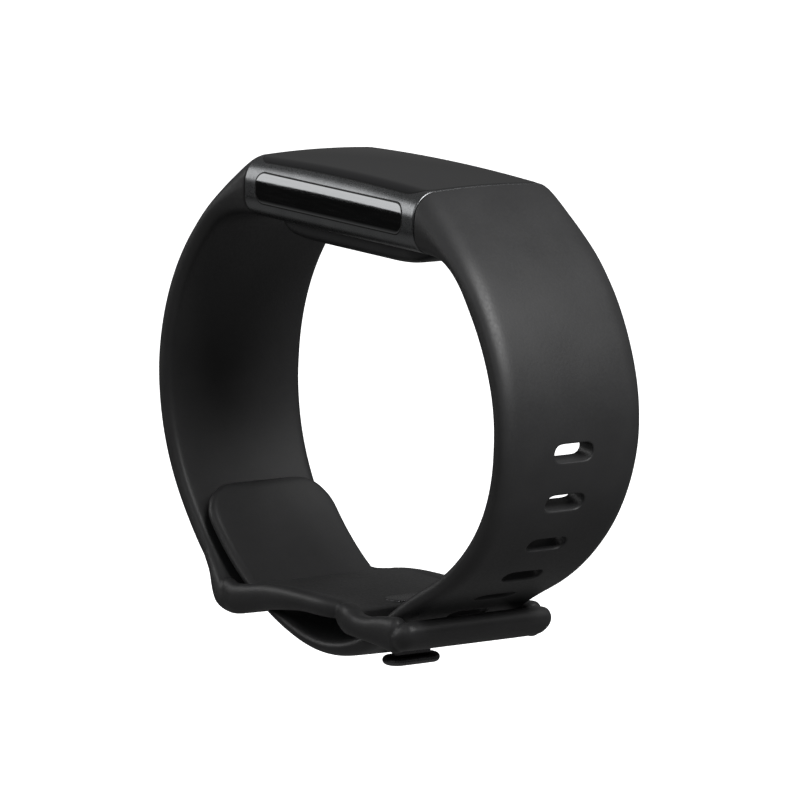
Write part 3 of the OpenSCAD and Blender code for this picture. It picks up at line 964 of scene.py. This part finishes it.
def pins():
    """The two charging pins, let into the bump."""
    profile = [(PIN_R, 22.4), (PIN_R, 20.62), (0.66, 20.5), (0.56, 20.42), (0.4, 20.38), (0.05, 20.38)]
    turn = np.linspace(0, 2 * math.pi, 49)[:-1]
    parts = []
    for y in PIN_Y:
        loops = [[(PIN_X + r * math.cos(a), y + r * math.sin(a), z) for a in turn] for r, z in profile]
        parts.append(capped_loft(loops))
    verts, faces = joined_mesh(parts)
    obj = mesh_object("charge_pins_soft", verts, faces, "gold", "tracker")
    sharpen(obj, 50)
    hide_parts("charge_pins")


GLASS_X = 17.9
GLASS_Y = 10.1
ELECTRODE_Z = 26.47
BUMP_BOT = 19.9
case()
glass_and_electrodes()
back()
pins()


# ---------------------------------------------------------------- peg, lugs and latches


def peg():
    """The metal peg: a flange let into the bridge, a shank through a slot and a flat oval head."""
    x = TAIL.line(PEG_D)[0][0]
    rise = [(0.3, 0), (1.1, 0), (1.42, 0.05), (1.62, 0.17), (1.76, 0.38), (1.8, 0.6), (1.76, 0.82),
            (1.62, 1.03), (1.42, 1.15), (0.95, 1.2), (0.6, 1.24), (0.55, 1.34)]
    profile = [(r, z - RING_Z) for r, z in rise]
    profile += [(0.55, -25.55), (1.7, -25.5), (1.72, -25.12), (1.68, -25.03), (1.58, -24.98), (0.3, -24.98)]
    turned("clasp_peg_soft", x, 0, profile, "peg_metal", "band", ["clasp_peg"], stretch=2.45)


def soft_box(name, extents, round_r, slot, body, grooves=()):
    """A box with rounded edges."""
    bm = bmesh.new()
    made = bmesh.ops.create_cube(bm, size=1)
    for v in made["verts"]:
        v.co = at(*[lo + (hi - lo) * (c + 0.5) for c, (lo, hi) in zip(v.co, extents)])
    bmesh.ops.bevel(bm, geom=list(bm.edges), offset=round_r * MM, segments=4, profile=0.5, affect="EDGES")
    mesh = bpy.data.meshes.new(name)
    bm.to_mesh(mesh)
    bm.free()
    obj = bpy.data.objects.new(name, mesh)
    bpy.context.scene.collection.objects.link(obj)
    for g in grooves:
        cut(obj, plain_box(*g))
    obj.data.shade_smooth()
    sharpen(obj, 40)
    dress(obj, slot)
    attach(obj, body)
    return obj


def joints():
    """The two latches with their tongues and the two lugs with their necks."""
    for side, name in ((-1, "left"), (1, "right")):
        def span(a, b, side=side):
            return tuple(sorted((side * a, side * b)))

        grooves = [(*span(19.4 + 0.6 * i, 19.7 + 0.6 * i), -2.8, 2.8, 21, 21.95) for i in range(4)]
        room = (span(*LATCH_SPAN), (-3.4, 3.4), (21.75, 23.7))
        latch = soft_box("latch_" + name + "_soft", room, 0.25, "latch_plastic", "latch_" + name, grooves)
        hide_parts("latch_" + name)
        room = (span(17.7, 19.0), (-1.9, 1.9), (22.75, 23.45))
        soft_box("latch_" + name + "_tongue", room, 0.12, "latch_plastic", "latch_" + name)
        room = (span(16.5, 17.4), (-5.5, 5.5), (24.2, 27.5))
        head = soft_box("lug_" + name + "_soft", room, 0.18, "lug_metal", "band")
        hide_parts("lug_" + name)
        room = (span(17.3, 18.9), (-4.1, 4.1), (24.25, 27.45))
        soft_box("lug_" + name + "_neck", room, 0.1, "lug_metal", "band")


def latch_springs():
    """Three bent leaves behind each latch."""
    (x0, x1), wide = SPRING_SPAN, 0.12
    for side, name in ((-1, "left"), (1, "right")):
        verts, faces = [], []
        for y in (-2, 0, 2):
            leaf = [(x0, y - 0.8), (x1 - wide, y), (x0, y + 0.8)]
            leaf += [(x0 + wide, y + 0.8), (x1, y), (x0 + wide, y - 0.8)]
            base, n = len(verts), len(leaf)
            verts += [(side * x, py, z) for z in (22.3, 23.2) for x, py in leaf]
            faces += [tuple(base + k for k in range(n))[::-1], tuple(base + n + k for k in range(n))]
            faces += [(base + k, base + (k + 1) % n, base + n + (k + 1) % n, base + n + k) for k in range(n)]
        spring = "latch_spring_" + name
        leaves = mesh_object(spring + "_leaves", verts, faces, "spring", "band", smooth_shade=False)
        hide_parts(spring)
        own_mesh(leaves)


peg()
joints()
latch_springs()


# ---------------------------------------------------------------- light and floor


FLOOR_Z = -0.02  # low enough for the band to slide down off the tracker above it


def make_floor():
    """A pale floor that stands for the studio sweep and throws no light back at the object."""
    mesh = bpy.data.meshes.new("floor")
    corners = [(x, y, FLOOR_Z) for x, y in ((-4, -4), (4, -4), (4, 4), (-4, 4))]
    mesh.from_pydata(corners, [], [(0, 1, 2, 3)])
    floor = bpy.data.objects.new("floor", mesh)
    bpy.context.scene.collection.objects.link(floor)
    mat, tree, bsdf = new_material("floor")
    bsdf.inputs["Base Color"].default_value = (0.95, 0.95, 0.95, 1)
    bsdf.inputs["Roughness"].default_value = 0.9
    bsdf.inputs["Specular IOR Level"].default_value = 0.0
    bsdf.inputs["Emission Color"].default_value = (1, 1, 1, 1)
    bsdf.inputs["Emission Strength"].default_value = 1.0
    mesh.materials.append(mat)
    floor.visible_diffuse = False
    floor.visible_glossy = False


def softbox(name, place, target, size, power):
    light = bpy.data.lights.new(name, "AREA")
    light.shape = "RECTANGLE"
    light.size, light.size_y = size
    light.energy = power
    lamp = bpy.data.objects.new(name, light)
    bpy.context.scene.collection.objects.link(lamp)
    lamp.location = place
    lamp.rotation_euler = (Vector(target) - Vector(place)).to_track_quat("-Z", "Y").to_euler()
    return lamp


def make_world():
    """White to the eye. What the object reflects is a dim studio, darkest just below the horizon."""
    world = bpy.data.worlds.new("studio")
    world.use_nodes = True
    bpy.context.scene.world = world
    tree = world.node_tree
    back = tree.nodes["Background"]
    parts = tree.nodes.new("ShaderNodeSeparateXYZ")
    tree.links.new(tree.nodes.new("ShaderNodeTexCoord").outputs["Generated"], parts.inputs[0])
    levels = tree.nodes.new("ShaderNodeValToRGB")
    stops = levels.color_ramp.elements
    stops[0].color = stops[-1].color = (SKY, SKY, SKY, 1)
    levels_up = ((0.3, SKY), (0.38, DARK), (0.49, DARK), (0.505, HORIZON), (0.56, HORIZON), (0.68, SKY))
    for place, level in levels_up:
        stops.new(place).color = (level, level, level, 1)
    tree.links.new(ramp(tree, parts.outputs["Z"], -1, 1, 0, 1), levels.inputs["Fac"])
    tree.links.new(levels.outputs["Color"], back.inputs["Color"])
    back.inputs["Strength"].default_value = 1.0
    seen = tree.nodes.new("ShaderNodeBackground")
    seen.inputs["Color"].default_value = (1, 1, 1, 1)
    seen.inputs["Strength"].default_value = 1.0
    mix = tree.nodes.new("ShaderNodeMixShader")
    tree.links.new(tree.nodes.new("ShaderNodeLightPath").outputs["Is Camera Ray"], mix.inputs["Fac"])
    tree.links.new(back.outputs[0], mix.inputs[1])
    tree.links.new(seen.outputs[0], mix.inputs[2])
    tree.links.new(mix.outputs[0], tree.nodes["World Output"].inputs["Surface"])


HORIZON = 0.08
SKY = 0.14
DARK = 0.012
make_floor()
make_world()
CENTRE = (0, 0, RING_Z * MM)
softbox("key", (0.55, 0.05, 0.68), CENTRE, (0.5, 0.5), 6.5)
softbox("front", (0.0, -0.8, 0.42), CENTRE, (0.5, 0.4), 0.5)
softbox("side", (-0.79, -0.53, 0.3), CENTRE, (0.5, 0.44), 1.3)
bpy.context.scene.view_settings.view_transform = "Standard"
